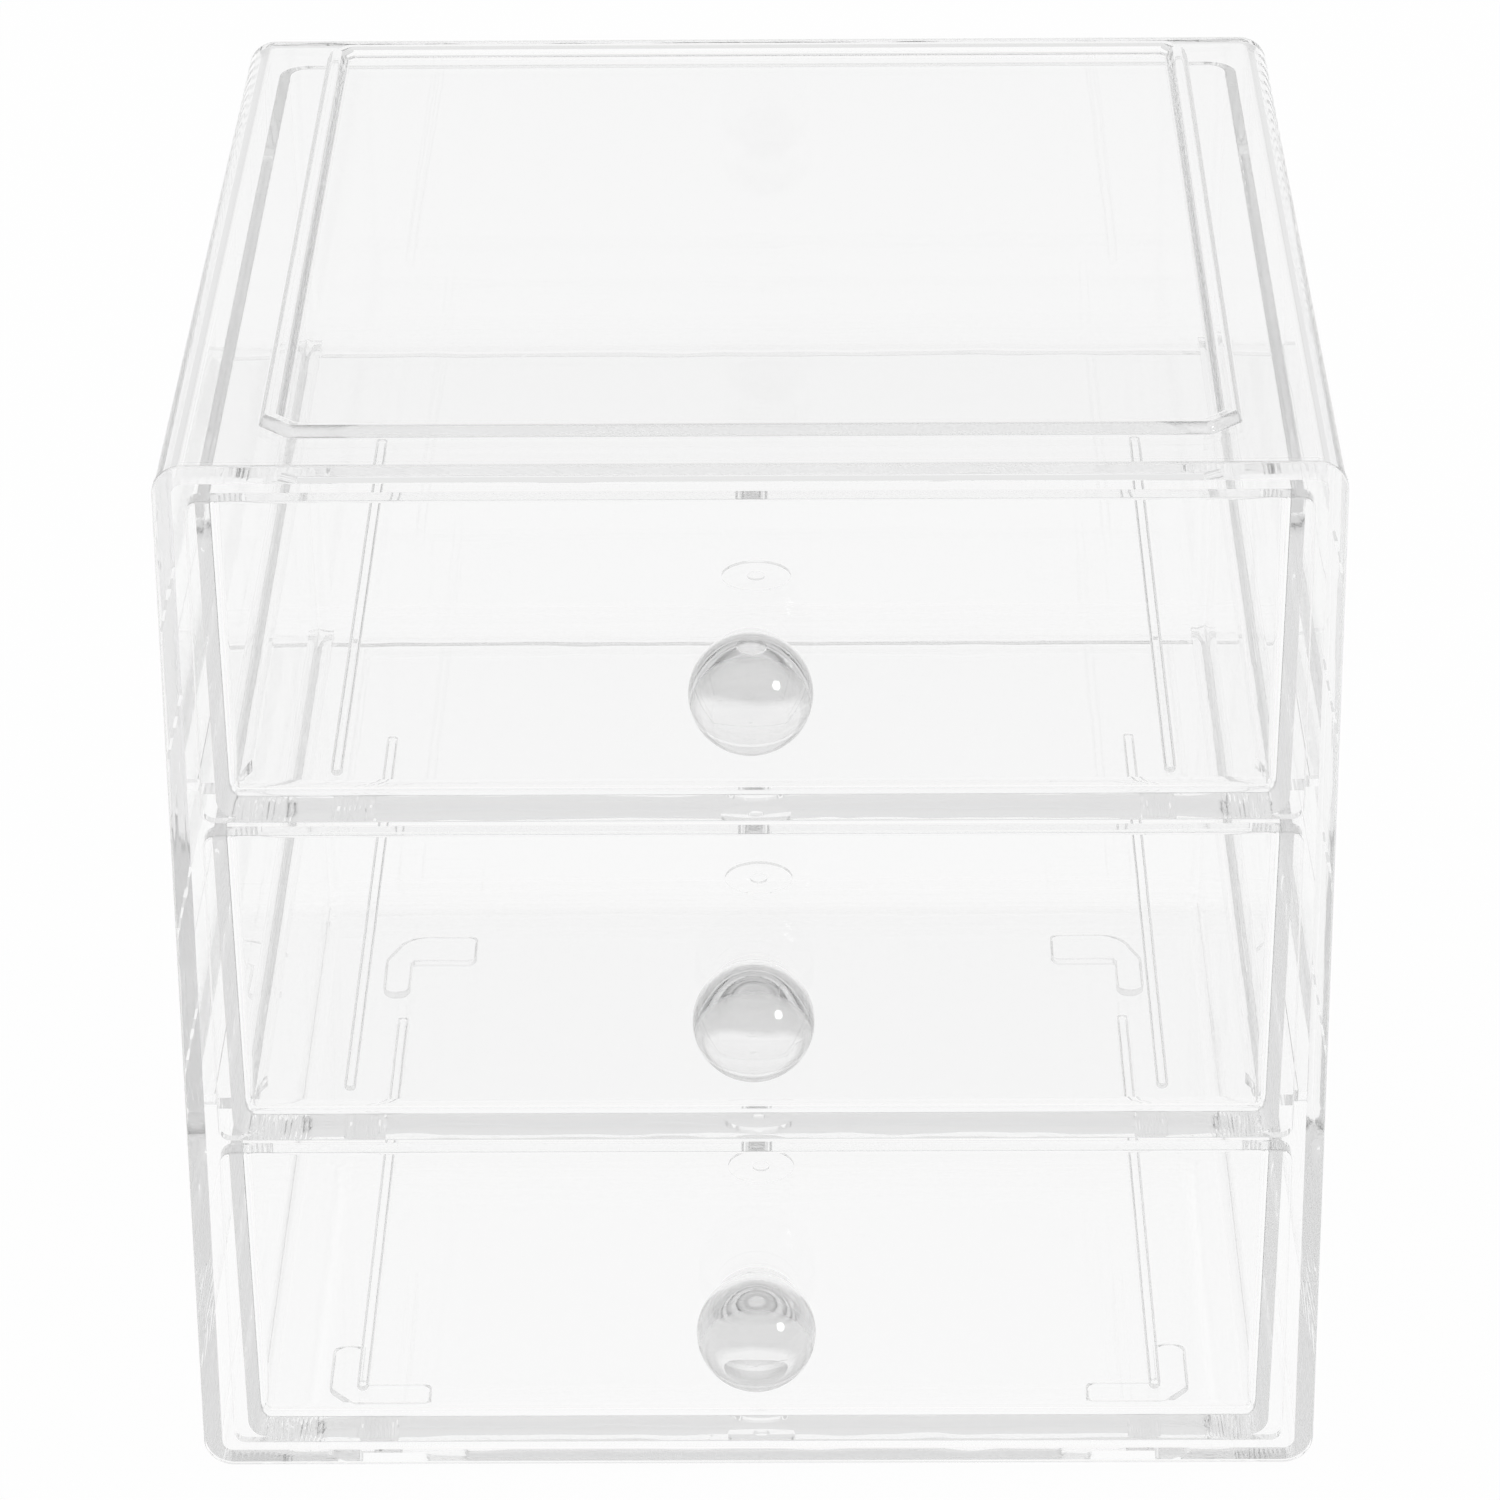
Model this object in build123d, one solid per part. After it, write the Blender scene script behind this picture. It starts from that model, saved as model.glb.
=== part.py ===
from build123d import *
import os
from math import radians, tan

# A small tabletop organizer: a clear cabinet, open at the front, with a stack of clear drawers that
# slide out forwards, each pulled by a clear ball knob. Millimetres. X runs across, Y from front to
# back and Z up. The origin is under the middle of the whole object, at the level it stands on.
# The drawers are sized first and the cabinet is built round them.

# Drawer fronts
drawer_count = 3
front_width = 170.1
front_height = 54.6
front_thickness = 3.15
front_corner_radius = 2.0

# Trays: each is moulded in one piece with its front
tray_length = 180.65        # from the front's face to the tray's top back edge
tray_side_inset = 1.35      # from the front's side edge to the tray's top edge
tray_drop = 0.75            # from the front's top edge down to the tray's top edge
tray_wall = 2.0
tray_floor = 2.6
tray_draft = 1.0            # degrees, the sides and back lean out towards the top
tray_inner_back_radius = 2.0
tray_inner_floor_radius = 1.8
tray_outer_floor_radius = 3.2
tray_front_radius = 4.0     # where the tray's floor runs up into the front

# Runners: two thin ribs under each tray
runner_width = 1.9
runner_height = 1.25
runner_edge_radius = 0.6
runner_inset = 17.66        # from the tray's bottom side edge to the rib's middle
runner_front_inset = 16.0   # from the front's face
runner_back_inset = 43.2    # from the tray's bottom back edge
runner_clearance = 0.95     # from a rib's underside to the front below it

# Round gate mark in the middle of each tray's underside
gate_diameter = 11.5
gate_depth = 0.5
gate_from_front = 86.0
sprue_diameter = 2.9
sprue_height = 0.35

# Knobs
knob_diameter = 18.95
knob_standoff = 8.69        # from the front's face to the ball's middle
knob_drop = 0.9             # from the front's middle down to the ball's middle
collar_diameter = 13.6
collar_thickness = 1.4
stud_diameter = 5.0
stud_clearance = 0.05
collar_gap = 0.05           # film of air between the collar and the front

# Cabinet walls
side_wall = 2.8
roof_wall = 2.8
floor_wall = 2.8
back_wall = 3.0
cabinet_taper = 0.6         # each side comes in by this much at the back
inner_edge_radius = 1.8
inner_back_radius = 1.0
front_side_gap = 1.95       # beside each drawer front
front_top_gap = 2.9         # over the top drawer front
tray_back_gap = 0.35        # behind each tray
slide_gap = 0.05            # film of air under a tray where it slides
lip_proud = 0.2
lip_depth = 1.4

# Ledges on the cabinet's side walls, which carry every tray but the lowest
ledge_thickness = 2.0
ledge_bearing = 4.16        # how far a ledge reaches in under the tray
ledge_front_inset = 15.1
ledge_corner = 2.2          # the ledge's front inner corner is cut off
ledge_corner_length = 4.5
ledge_clearance = 0.9       # from a ledge down to the tray under it

# Stacking rim on the roof, and the feet that nest inside the rim of a cabinet below
rim_side_inset = 15.5
rim_front_inset = 11.0
rim_back_inset = 8.0
rim_bar = 3.1
rim_height = 1.5
rim_front_corner = 4.5
rim_back_corner = 3.0
rim_corner_blend = 2.0
rim_edge_radius = 1.2
rim_root_radius = 0.5
nest_gap = 0.5
foot_height = 1.7
foot_edge_radius = 0.7
foot_end_radius = 1.8
front_foot_width = 5.4
front_foot_length = 17.8
front_foot_depth = 6.0
front_foot_reach = 17.0
front_foot_corner = 4.4
front_foot_corner_length = 5.0
front_foot_blend = 2.0
back_foot_width = 5.0
back_foot_length = 21.3
back_foot_depth = 9.4
back_foot_reach = 16.6
back_foot_corner = 3.8
back_foot_corner_length = 9.0
back_foot_blend = 6.0
back_foot_inset = 1.1       # how much further in than the front feet it stands, on both sides

# Small rounding on moulded edges
edge_round = 0.3

# Sizes worked out from the ones above
lean = tan(radians(tray_draft))
tray_height = front_height - tray_drop
tray_top_half = front_width / 2 - tray_side_inset
tray_bottom_half = tray_top_half - tray_height * lean
tray_bottom_back = tray_length - tray_height * lean
ledge_gap = slide_gap + ledge_thickness + ledge_clearance - tray_drop
front_gap = max(ledge_gap, runner_height + runner_clearance)
pitch = front_height + front_gap

opening_width = front_width + 2 * front_side_gap
lowest_rise = runner_height + slide_gap
opening_height = lowest_rise + drawer_count * pitch - front_gap + front_top_gap
inner_depth = tray_length + tray_back_gap
cabinet_depth = inner_depth + back_wall
cabinet_half = opening_width / 2 + side_wall
lip_half = cabinet_half + lip_proud

knob_height = front_height / 2 - knob_drop
knob_reach = knob_standoff + knob_diameter / 2
front_y = (knob_reach - cabinet_depth) / 2
cabinet_bottom = foot_height
opening_bottom = cabinet_bottom + floor_wall
opening_top = opening_bottom + opening_height
cabinet_top = opening_top + roof_wall
lowest_tray = opening_bottom + lowest_rise

rim_half = lip_half - rim_side_inset
foot_half = rim_half - rim_bar - nest_gap
foot_front = rim_front_inset + rim_bar + nest_gap
foot_back = cabinet_depth - rim_back_inset - rim_bar - nest_gap


# Shapes are drawn with Y counted from the drawer fronts' face, and placed at the end.

def tapered_block(front_half, back_half, front, back, bottom, top, edge_radius, back_radius):
    """Box that narrows towards the back, with rounded long edges and a rounded back."""
    corners = [(-front_half, front), (front_half, front), (back_half, back), (-back_half, back)]
    plan = make_face(Polyline(*corners, close=True))
    block = extrude(Pos(0, 0, bottom) * plan, amount=top - bottom)
    level = [edge for edge in block.edges() if abs(edge.center().Z - (top + bottom) / 2) > 1]
    long_edges = [edge for edge in level if abs(edge.center().X) > 1]
    block = fillet(long_edges, edge_radius)
    back_face = block.faces().sort_by(Axis.Y)[-1]
    return fillet(back_face.edges(), back_radius)


def cabinet_walls():
    """Roof, floor, sides and back in one moulding, with a slightly proud lip round the front."""
    outer_radius = inner_edge_radius + side_wall
    body = tapered_block(
        cabinet_half, cabinet_half - cabinet_taper, lip_depth / 2, cabinet_depth,
        cabinet_bottom, cabinet_top, outer_radius, inner_back_radius + back_wall)
    room_back_half = opening_width / 2 - cabinet_taper * inner_depth / cabinet_depth
    room = tapered_block(
        opening_width / 2, room_back_half, 0, inner_depth,
        opening_bottom, opening_top, inner_edge_radius, inner_back_radius)
    lip_height = cabinet_top - cabinet_bottom + 2 * lip_proud
    outline = RectangleRounded(2 * lip_half, lip_height, outer_radius + lip_proud)
    middle = (cabinet_top + cabinet_bottom) / 2
    lip = extrude(Plane.XZ * Pos(0, middle) * outline, amount=-lip_depth)
    front_face = lip.faces().sort_by(Axis.Y)[0]
    lip = fillet(front_face.edges(), edge_round)
    return body + lip - room


def ledge(side, level):
    """Flat shelf strip along one side wall, level with the underside of the tray it carries."""
    inner = tray_bottom_half - ledge_bearing
    outer = opening_width / 2 + side_wall / 2 - cabinet_taper
    front = ledge_front_inset
    back = inner_depth + back_wall / 2
    plan = make_face(Polyline(
        (inner, front + ledge_corner_length), (inner + ledge_corner, front), (outer, front),
        (outer, back), (inner, back), close=True))
    strip = extrude(plan, amount=-ledge_thickness)
    strip = Pos(0, 0, lowest_tray + level * pitch - slide_gap) * strip
    return strip if side > 0 else mirror(strip, about=Plane.YZ)


def cornered_outline(half_width, front, back, front_corner, back_corner):
    """Rectangle with its four corners cut at 45 degrees."""
    return make_face(Polyline(
        (front_corner - half_width, front), (half_width - front_corner, front),
        (half_width, front + front_corner), (half_width, back - back_corner),
        (half_width - back_corner, back), (back_corner - half_width, back),
        (-half_width, back - back_corner), (-half_width, front + front_corner),
        close=True))


def stacking_rim():
    """Low rectangular frame on the roof that keeps a second cabinet in place."""
    back = cabinet_depth - rim_back_inset
    outline = cornered_outline(rim_half, rim_front_inset, back, rim_front_corner, rim_back_corner)
    inside = offset(outline, amount=-rim_bar, kind=Kind.INTERSECTION)
    outline = fillet(outline.vertices(), rim_corner_blend)
    frame = extrude(Pos(0, 0, cabinet_top) * (outline - inside), amount=rim_height)
    return fillet(frame.faces().sort_by(Axis.Z)[-1].edges(), rim_edge_radius)


def foot(width, length, depth, reach, corner, corner_length, blend):
    """Low L-shaped foot at a front right corner: one leg runs back and one runs across."""
    outline = Polyline(
        (0, corner_length), (-corner, 0), (-reach, 0), (-reach, depth),
        (-width - edge_round, depth), (-width, depth + edge_round), (-width, length), (0, length),
        close=True)
    plan = make_face(outline)
    side_end = plan.vertices().sort_by(Axis.Y)[-2:]
    plan = fillet(side_end, 0.45 * width)
    cross_end = plan.vertices().sort_by(Axis.X)[:2]
    plan = fillet(cross_end, foot_end_radius)
    cut_corner = [spot for spot in plan.vertices()
                  if abs(spot.X * corner_length - (spot.Y - corner_length) * corner) < 0.01]
    plan = fillet(cut_corner, blend)
    pad = extrude(plan, amount=foot_height)
    return fillet(pad.faces().sort_by(Axis.Z)[0].edges(), foot_edge_radius)


def cabinet():
    """Walls with their ledges, stacking rim and feet."""
    body = cabinet_walls() + stacking_rim()
    root = [edge for edge in body.edges()
            if abs(edge.center().Z - cabinet_top) < 0.01 and edge.center().Y > lip_depth + 1
            and max(abs(corner.X) for corner in edge.vertices()) < rim_half + 0.01]
    body = fillet(root, rim_root_radius)
    for side in (-1, 1):
        for level in range(1, drawer_count):
            body += ledge(side, level)
    front_foot = foot(front_foot_width, front_foot_length, front_foot_depth, front_foot_reach,
                      front_foot_corner, front_foot_corner_length, front_foot_blend)
    front_foot = Pos(foot_half, foot_front, 0) * front_foot
    back_foot = foot(back_foot_width, back_foot_length, back_foot_depth, back_foot_reach,
                     back_foot_corner, back_foot_corner_length, back_foot_blend)
    back_foot = mirror(back_foot, about=Plane.XZ)
    back_foot = Pos(foot_half - back_foot_inset, foot_back - back_foot_inset, 0) * back_foot
    for pad in (front_foot, back_foot):
        body += pad + mirror(pad, about=Plane.YZ)
    return body


def drafted_block(bottom_half, bottom_back, bottom, top, back_radius):
    """Block behind the drawer front whose sides and back lean out; its front stays upright."""
    spare = front_thickness + tray_height
    plan = Rectangle(2 * bottom_half, bottom_back + spare, align=(Align.CENTER, Align.MAX))
    plan = fillet(plan.vertices().sort_by(Axis.Y)[-2:], back_radius)
    block = extrude(Pos(0, bottom_back, bottom) * plan, amount=top - bottom, taper=-tray_draft)
    return split(block, Plane.XZ.offset(-front_thickness), keep=Keep.BOTTOM)


def tray():
    """Open box behind the drawer front, moulded with a rounded floor edge."""
    outer = drafted_block(tray_bottom_half, tray_bottom_back, 0, tray_height,
                          tray_inner_back_radius + tray_wall)
    underside = outer.faces().sort_by(Axis.Z)[0]
    behind = [edge for edge in underside.edges() if edge.center().Y > front_thickness + 1]
    outer = fillet(behind, tray_outer_floor_radius)

    floor_lean = tray_floor * lean
    inner = drafted_block(tray_bottom_half + floor_lean - tray_wall,
                          tray_bottom_back + floor_lean - tray_wall,
                          tray_floor, tray_height, tray_inner_back_radius)
    floor_front = inner.faces().sort_by(Axis.Z)[0].edges().sort_by(Axis.Y)[0]
    inner = fillet(floor_front, tray_front_radius)
    front_end = front_thickness + tray_front_radius
    upright = [edge for edge in inner.edges()
               if edge.center().Y < front_end and abs(edge.center().X) > 1]
    around = [edge for edge in inner.faces().sort_by(Axis.Z)[0].edges()
              if edge.center().Y > front_end + 1]
    inner = fillet(upright + around, tray_inner_floor_radius)

    box = outer - inner
    rim = box.faces().sort_by(Axis.Z)[-1]
    rounded = [edge for edge in rim.edges() if edge.center().Y > front_thickness + 1]
    return fillet(rounded, edge_round)


def runner(side):
    """Thin rib under the tray with rounded ends."""
    front = runner_front_inset
    back = tray_bottom_back - runner_back_inset
    slot = SlotOverall(back - front, runner_width, rotation=90)
    place = Pos(side * (tray_bottom_half - runner_inset), (front + back) / 2, 0)
    rib = extrude(place * slot, amount=-runner_height)
    return fillet(rib.faces().sort_by(Axis.Z)[0].edges(), runner_edge_radius)


def drawer():
    """Tray with its front, runners, gate mark and the hole for the knob's stud."""
    outline = RectangleRounded(front_width, front_height, front_corner_radius)
    front = extrude(Plane.XZ * Pos(0, front_height / 2) * outline, amount=-front_thickness)
    front = fillet(front.faces().sort_by(Axis.Y)[0].edges(), edge_round)
    body = tray() + front + runner(-1) + runner(1)
    gate = Pos(0, gate_from_front, 0)
    body -= extrude(gate * Circle(gate_diameter / 2), amount=gate_depth)
    body += extrude(gate * Pos(0, 0, gate_depth) * Circle(sprue_diameter / 2), amount=-sprue_height)
    hole = Plane.XZ * Pos(0, knob_height) * Circle(stud_diameter / 2 + stud_clearance)
    body -= extrude(hole, amount=-front_thickness)
    return body


def knob():
    """Solid ball on a short collar, with a stud that fills the hole in the drawer front."""
    middle = Plane.XZ * Pos(0, knob_height)
    ball = middle * Pos(0, 0, knob_standoff) * Sphere(knob_diameter / 2)
    ball = split(ball, Plane.XZ.offset(collar_thickness), keep=Keep.TOP)
    collar = Plane.XZ.offset(collar_gap) * Pos(0, knob_height) * Circle(collar_diameter / 2)
    collar = extrude(collar, amount=collar_thickness - collar_gap)
    stud = Plane.XZ.offset(collar_gap) * Pos(0, knob_height) * Circle(stud_diameter / 2)
    stud = extrude(stud, amount=-front_thickness - collar_gap)
    return ball + collar + stud


def save(shape, name):
    """Write one sub-part as a single solid."""
    placed = Pos(0, front_y, 0) * shape
    export_step(placed.solid(), f"parts/{name}.step")


os.makedirs("parts", exist_ok=True)
save(cabinet(), "cabinet")
one_drawer = drawer()
one_knob = knob()
for level in range(drawer_count):
    lift = Pos(0, 0, lowest_tray + level * pitch)
    save(lift * one_drawer, f"drawer_{level + 1}")
    save(lift * one_knob, f"knob_{level + 1}")
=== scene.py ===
import bmesh
import bpy
from math import cos, pi, radians
from mathutils import Matrix, Vector


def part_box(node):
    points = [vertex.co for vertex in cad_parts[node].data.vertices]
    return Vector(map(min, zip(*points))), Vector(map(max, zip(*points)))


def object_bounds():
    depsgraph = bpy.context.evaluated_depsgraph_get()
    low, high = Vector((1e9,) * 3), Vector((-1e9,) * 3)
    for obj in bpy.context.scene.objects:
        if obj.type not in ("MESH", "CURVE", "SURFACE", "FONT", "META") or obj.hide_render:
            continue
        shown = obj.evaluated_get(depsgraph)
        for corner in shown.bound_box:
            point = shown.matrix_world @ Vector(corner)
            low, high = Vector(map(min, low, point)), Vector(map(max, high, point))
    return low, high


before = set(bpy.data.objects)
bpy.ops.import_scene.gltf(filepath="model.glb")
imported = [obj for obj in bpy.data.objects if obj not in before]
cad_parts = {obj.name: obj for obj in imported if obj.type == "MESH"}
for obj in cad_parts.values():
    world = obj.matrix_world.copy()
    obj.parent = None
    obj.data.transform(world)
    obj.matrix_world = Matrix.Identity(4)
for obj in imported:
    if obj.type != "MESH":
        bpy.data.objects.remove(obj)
cad_low, cad_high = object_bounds()
mm = 0.001


# ---- Camera --------------------------------------------------------------------------------------
# The photograph looks down on the organizer from the front through a long lens, turned a little to
# the left and tipped a little to the right.
camera_place = (9.79 * mm, -945.74 * mm, 570.72 * mm)
camera_near = 50 * mm
camera_lens = 151.57
camera_pitch = radians(26.961)
camera_yaw = radians(-0.669)
camera_roll = radians(-0.512)

camera = bpy.data.objects.new("camera", bpy.data.cameras.new("camera"))
camera.data.lens = camera_lens
camera.data.clip_start = camera_near
turn = Matrix.Rotation(-camera_yaw, 4, "Z") @ Matrix.Rotation(pi / 2 - camera_pitch, 4, "X")
camera.matrix_world = Matrix.Translation(camera_place) @ turn @ Matrix.Rotation(camera_roll, 4, "Z")
bpy.context.collection.objects.link(camera)
scene = bpy.context.scene
scene.camera = camera
scene.view_settings.view_transform = "Standard"
# Light runs a long way inside clear walls before it leaves, so it is followed through many faces.
wall_bounces = 128
scene.cycles.max_bounces = wall_bounces
scene.cycles.transmission_bounces = wall_bounces
scene.cycles.glossy_bounces = wall_bounces


# ---- Studio --------------------------------------------------------------------------------------
# White paper sweep in a white room that is dimmer at both sides, overhead and towards the camera,
# which is what draws the edges of a clear thing in grey. One small round lamp stands at the right,
# and only mirror-like faces show it.
# Each fade gives the parts of a direction, out of 1, between which the room goes over to that
# strength: X for the sides, Z for overhead and Y for the front.
room_side_strength = 0.80
room_side_fade = (0.3, 0.9)
room_top_strength = 0.95
room_top_fade = (0.6, 0.95)
room_front_strength = 0.97
room_front_fade = (-0.9, -0.3)
# Painted shade: seen by way of gloss or clear plastic, the paper glows a little dimmer in front of
# the organizer, standing in for studio light falling off towards the camera.
front_painted_shade_strength = 0.98
front_painted_shade_blend = 30 * mm
lamp_way = Vector((0.747, -0.458, 0.483)).normalized()
lamp_radius = radians(8.0)
lamp_edge = 0.1
lamp_strength = 14.0
paper_colour = "#FAFAFA"
paper_size = 6.0
paper_drop = 0.1 * mm
white_share = 0.98


def linear(hex_colour):
    """Linear colour of an sRGB hex value."""
    parts = [int(hex_colour[i:i + 2], 16) / 255 for i in (1, 3, 5)]
    return tuple(p / 12.92 if p <= 0.04045 else ((p + 0.055) / 1.055) ** 2.4 for p in parts) + (1,)


def add(tree, kind, inputs=None, **settings):
    """Add a node with its settings, each input set to a value or linked, and return its outputs."""
    made = tree.nodes.new(kind)
    for name, value in settings.items():
        setattr(made, name, value)
    for name, value in (inputs or {}).items():
        if isinstance(value, bpy.types.NodeSocket):
            tree.links.new(value, made.inputs[name])
        else:
            made.inputs[name].default_value = value
    return made.outputs


world = bpy.data.worlds.new("studio")
scene.world = world
world.use_nodes = True
tree = world.node_tree
tree.nodes.clear()
way = add(tree, "ShaderNodeTexCoord")["Generated"]
along = add(tree, "ShaderNodeSeparateXYZ", {0: way})
aside = add(tree, "ShaderNodeMath", {0: along["X"]}, operation="ABSOLUTE")[0]
sides = add(tree, "ShaderNodeMapRange", {0: aside, 1: room_side_fade[0], 2: room_side_fade[1],
            3: 1.0, 4: room_side_strength})
top = add(tree, "ShaderNodeMapRange", {0: along["Z"], 1: room_top_fade[0], 2: room_top_fade[1],
          3: 1.0, 4: room_top_strength})
front = add(tree, "ShaderNodeMapRange", {0: along["Y"], 1: room_front_fade[0], 2: room_front_fade[1],
            3: room_front_strength, 4: 1.0})
room = add(tree, "ShaderNodeMath", {0: sides[0], 1: top[0]}, operation="MULTIPLY")
room = add(tree, "ShaderNodeMath", {0: room[0], 1: front[0]}, operation="MULTIPLY")
nearness = add(tree, "ShaderNodeVectorMath", {0: way, 1: lamp_way}, operation="DOT_PRODUCT")
lamp = add(tree, "ShaderNodeMapRange", {0: nearness["Value"], 1: cos((1 + lamp_edge) * lamp_radius),
           2: cos((1 - lamp_edge) * lamp_radius), 3: 0.0, 4: lamp_strength})
ray = add(tree, "ShaderNodeLightPath")
mirrored = add(tree, "ShaderNodeMath", {0: ray["Is Glossy Ray"], 1: ray["Is Transmission Ray"]},
               operation="SUBTRACT", use_clamp=True)
lamp = add(tree, "ShaderNodeMath", {0: lamp[0], 1: mirrored[0]}, operation="MULTIPLY")
light = add(tree, "ShaderNodeMath", {0: room[0], 1: lamp[0]}, operation="ADD")
glow = add(tree, "ShaderNodeBackground", {"Strength": light[0]})
add(tree, "ShaderNodeOutputWorld", {"Surface": glow[0]})

floor_mesh = bpy.data.meshes.new("floor")
bm = bmesh.new()
bmesh.ops.create_grid(bm, x_segments=1, y_segments=1, size=paper_size / 2)
bmesh.ops.translate(bm, verts=bm.verts, vec=(0, 0, -paper_drop))
bm.to_mesh(floor_mesh)
bm.free()
floor = bpy.data.objects.new("floor", floor_mesh)
bpy.context.collection.objects.link(floor)

# White sweep paper, matt. It shows an even white to the camera, and by way of gloss or clear
# plastic, with a trace of shadow under the organizer.
paper = bpy.data.materials.new("white_sweep_paper")
paper.use_nodes = True
tree = paper.node_tree
tree.nodes.clear()
path = add(tree, "ShaderNodeLightPath")
across = add(tree, "ShaderNodeSeparateXYZ", {0: add(tree, "ShaderNodeTexCoord")["Object"]})
# Painted shade: for all but camera rays the glow fades down in front of the organizer.
front_painted_shade = add(tree, "ShaderNodeMapRange", {0: across["Y"], 1: cad_low[1] - front_painted_shade_blend,
                 2: cad_low[1], 3: front_painted_shade_strength, 4: 1.0})
strength = add(tree, "ShaderNodeMath", {0: front_painted_shade[0], 1: path["Is Camera Ray"]},
               operation="MAXIMUM")
white = add(tree, "ShaderNodeEmission", {"Strength": strength[0]})
matt = add(tree, "ShaderNodeBsdfDiffuse", {"Color": linear(paper_colour)})
seen = add(tree, "ShaderNodeMath", {0: path["Is Camera Ray"], 1: path["Is Glossy Ray"]},
           operation="MAXIMUM")
seen = add(tree, "ShaderNodeMath", {0: seen[0], 1: path["Is Transmission Ray"]}, operation="MAXIMUM")
share = add(tree, "ShaderNodeMath", {0: seen[0], 1: white_share}, operation="MULTIPLY")
mixed = add(tree, "ShaderNodeMixShader", {0: share[0], 1: matt[0], 2: white[0]})
add(tree, "ShaderNodeOutputMaterial", {"Surface": mixed[0]})
floor_mesh.materials.append(paper)


# ---- Cabinet -------------------------------------------------------------------------------------
# One injection moulding in clear styrene acrylic: roof, floor, sides and back in one, with the
# drawer ledges, the stacking rim and the feet. The drawers slide in from the front.
plastic_ior = 1.55
plastic_tint = "#F2F2F2"
wall_density = 2.4
swell_mm = 28.0
swell_detail = 2.0
swell_depth_mm = 0.02
# Hairlines are a share of the noise's span wide, and drawn coarser than real ones so that they show.
hairline_mm = 9.0
hairline_width = 0.003
hairline_roughness = 0.12
break_ratio = 2.2
break_fade = (0.52, 0.60)


def clear_plastic(name, density, spacing_mm, width, roughness, dressing=None):
    """Polished clear moulding: a faint swell from the mould, and hairline scratches from use."""
    plastic = bpy.data.materials.new(name)
    plastic.use_nodes = True
    tree = plastic.node_tree
    tree.nodes.clear()
    place = add(tree, "ShaderNodeTexCoord")["Object"]
    swell = add(tree, "ShaderNodeTexNoise", {0: place, "Scale": 1 / (swell_mm * mm),
                "Detail": swell_detail})
    bump = add(tree, "ShaderNodeBump", {"Height": swell[0], "Distance": swell_depth_mm * mm})
    # A scratch runs where a smooth noise crosses its middle value, and a finer noise breaks it up.
    field = add(tree, "ShaderNodeTexNoise", {0: place, "Scale": 1 / (spacing_mm * mm), "Detail": 0.0})
    off_middle = add(tree, "ShaderNodeMath", {0: field[0], 1: 0.5}, operation="SUBTRACT")
    off_middle = add(tree, "ShaderNodeMath", {0: off_middle[0]}, operation="ABSOLUTE")
    stroke = add(tree, "ShaderNodeMapRange", {0: off_middle[0], 1: 0.0, 2: width, 3: roughness,
                 4: 0.0})
    breaks = add(tree, "ShaderNodeTexNoise", {0: place, "Scale": break_ratio / (spacing_mm * mm)})
    kept = add(tree, "ShaderNodeMapRange", {0: breaks[0], 1: break_fade[0], 2: break_fade[1],
               3: 0.0, 4: 1.0})
    scratch = add(tree, "ShaderNodeMath", {0: stroke[0], 1: kept[0]}, operation="MULTIPLY")
    finish = {"Base Color": (1, 1, 1, 1), "IOR": plastic_ior, "Transmission Weight": 1.0,
              "Roughness": scratch[0], "Normal": bump[0]}
    if dressing:
        finish.update(dressing(tree, place))
    shader = add(tree, "ShaderNodeBsdfPrincipled", finish)
    absorb = add(tree, "ShaderNodeVolumeAbsorption", {"Color": linear(plastic_tint),
                 "Density": density})
    add(tree, "ShaderNodeOutputMaterial", {"Surface": shader[0], "Volume": absorb[0]})
    return plastic


def dress(name, material):
    """Give every slot of a CAD node that material."""
    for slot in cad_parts[name].material_slots:
        slot.material = material


# Clear styrene acrylic, moulded in a polished mould: mirror-smooth faces that only their edges and
# reflections show, grey where light runs a long way inside a wall, and a few hairlines.
dress("cabinet", clear_plastic("clear_styrene_acrylic_polished", wall_density, hairline_mm,
                               hairline_width, hairline_roughness))


# ---- Drawers -------------------------------------------------------------------------------------
# Three like trays, each moulded with its front in the same clear plastic. Things laid in them
# scratch them a little more than the cabinet.
tray_hairline_mm = 7.0

# The same plastic and polish as the cabinet, with its hairlines closer together.
tray_plastic = clear_plastic("clear_styrene_acrylic_tray", wall_density, tray_hairline_mm,
                             hairline_width, hairline_roughness)
for number in (1, 2, 3):
    dress(f"drawer_{number}", tray_plastic)


# ---- Knobs ---------------------------------------------------------------------------------------
# Solid clear balls on short collars, a little scratched by fingers. Each one's upper half is grey
# with shade, and that grey is painted here as painted shade: a grey disc behind the collar, which the
# ball shows large in its upper half, with a curved lower edge. That is made here as grey cement
# behind the collar, which is a guess: the ball shows the cement large in its upper half, with the
# same curved lower edge. The disc's radius differs from knob to knob so that this edge falls where
# the shade's edge falls.
knob_density = 30.0
knob_hairline_mm = 5.0
knob_hairline_width = 0.006
knob_hairline_roughness = 0.3
# Painted shade: a grey disc behind each knob's collar, which the ball shows as its grey upper half.
painted_shade_colour = "#D6D6D6"
painted_shade_radii_mm = (6.2, 5.5, 4.7)
painted_shade_edge = 0.15 * mm
painted_shade_wobble = 0.8 * mm
painted_shade_wobble_mm = 3.0
painted_shade_wobble_detail = 3.0
painted_shade_cover = 0.03
stud_painted_shade_cover = 0.04
# The collar's back lies 0.05 mm off the drawer's face, so the painted shade starts a hair in front of
# that. Its cover changes to the stud's between these two distances behind there.
painted_shade_depth = 0.06 * mm
stud_painted_shade_fade = (0.02 * mm, 0.1 * mm)
behind_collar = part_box("drawer_1")[0][1] - painted_shade_depth


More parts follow.
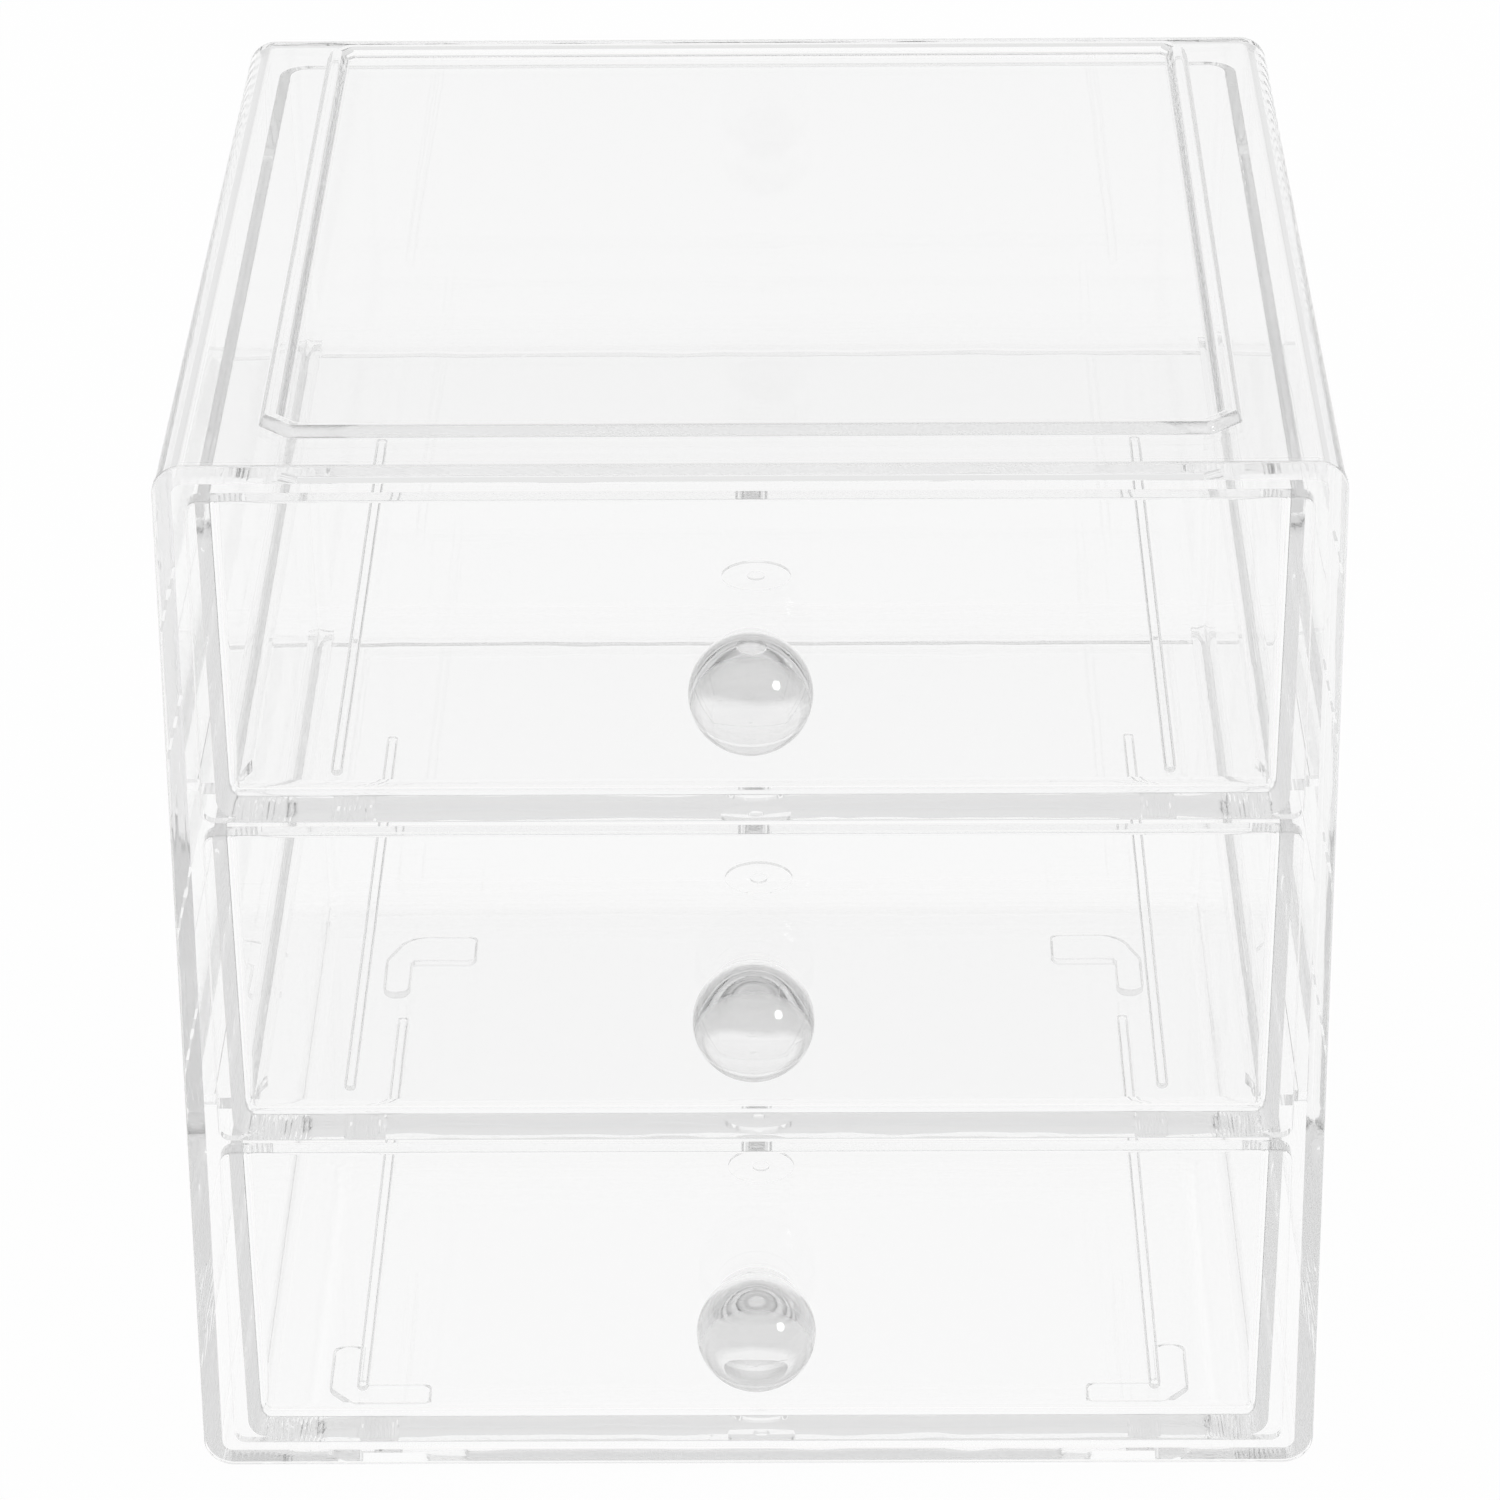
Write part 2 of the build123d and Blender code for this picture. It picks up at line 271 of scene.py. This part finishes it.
def knob_with_painted_shade(number):
    """Clear acrylic, moulded and polished, with a grey disc of painted shade on the back of it round
    its stud.

    It turns the view behind it over as a lens does, and mirrors the lamp as one small bright spot.
    """
    painted_shade_radius = painted_shade_radii_mm[number - 1] * mm
    low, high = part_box(f"knob_{number}")
    axis = Vector((0, 0, (low[2] + high[2]) / 2))

    def painted_shade(tree, place):
        """Colour and clearness, which change where the painted shade is: grey and less clear inside
        the disc.
        """
        away = add(tree, "ShaderNodeVectorMath", {0: place, 1: axis}, operation="SUBTRACT")
        flat = add(tree, "ShaderNodeVectorMath", {0: away[0], 1: (1, 0, 1)}, operation="MULTIPLY")
        radius = add(tree, "ShaderNodeVectorMath", {0: flat[0]}, operation="LENGTH")
        painted_shade_wobble_noise = add(tree, "ShaderNodeTexNoise", {0: place, "Scale": 1 / (painted_shade_wobble_mm * mm),
                    "Detail": painted_shade_wobble_detail})
        uneven = add(tree, "ShaderNodeMapRange", {0: painted_shade_wobble_noise[0], 1: 0.0, 2: 1.0,
                     3: -painted_shade_wobble / 2, 4: painted_shade_wobble / 2})
        reach = add(tree, "ShaderNodeMath", {0: radius["Value"], 1: uneven[0]}, operation="ADD")
        painted_shade_disc = add(tree, "ShaderNodeMapRange", {0: reach[0], 1: painted_shade_radius - painted_shade_edge,
                    2: painted_shade_radius + painted_shade_edge, 3: 1.0, 4: 0.0})
        along = add(tree, "ShaderNodeSeparateXYZ", {0: place})
        behind = add(tree, "ShaderNodeMath", {0: along["Y"], 1: behind_collar},
                     operation="GREATER_THAN")
        painted_shade_mask = add(tree, "ShaderNodeMath", {0: painted_shade_disc[0], 1: behind[0]}, operation="MULTIPLY")
        # Painted shade: inside the disc the colour goes grey and the ball grows a little less clear.
        colour = add(tree, "ShaderNodeMix", {0: painted_shade_mask[0], 6: (1, 1, 1, 1),
                     7: linear(painted_shade_colour)}, data_type="RGBA")
        thinning = add(tree, "ShaderNodeMapRange", {0: along["Y"], 1: behind_collar + stud_painted_shade_fade[0],
                       2: behind_collar + stud_painted_shade_fade[1], 3: painted_shade_cover, 4: stud_painted_shade_cover})
        cover = add(tree, "ShaderNodeMath", {0: painted_shade_mask[0], 1: thinning[0]}, operation="MULTIPLY")
        clear = add(tree, "ShaderNodeMath", {0: 1.0, 1: cover[0]}, operation="SUBTRACT")
        return {"Base Color": colour[2], "Transmission Weight": clear[0]}

    return clear_plastic(f"clear_acrylic_ball_{number}", knob_density, knob_hairline_mm,
                         knob_hairline_width, knob_hairline_roughness, painted_shade)


for number in (1, 2, 3):
    dress(f"knob_{number}", knob_with_painted_shade(number))
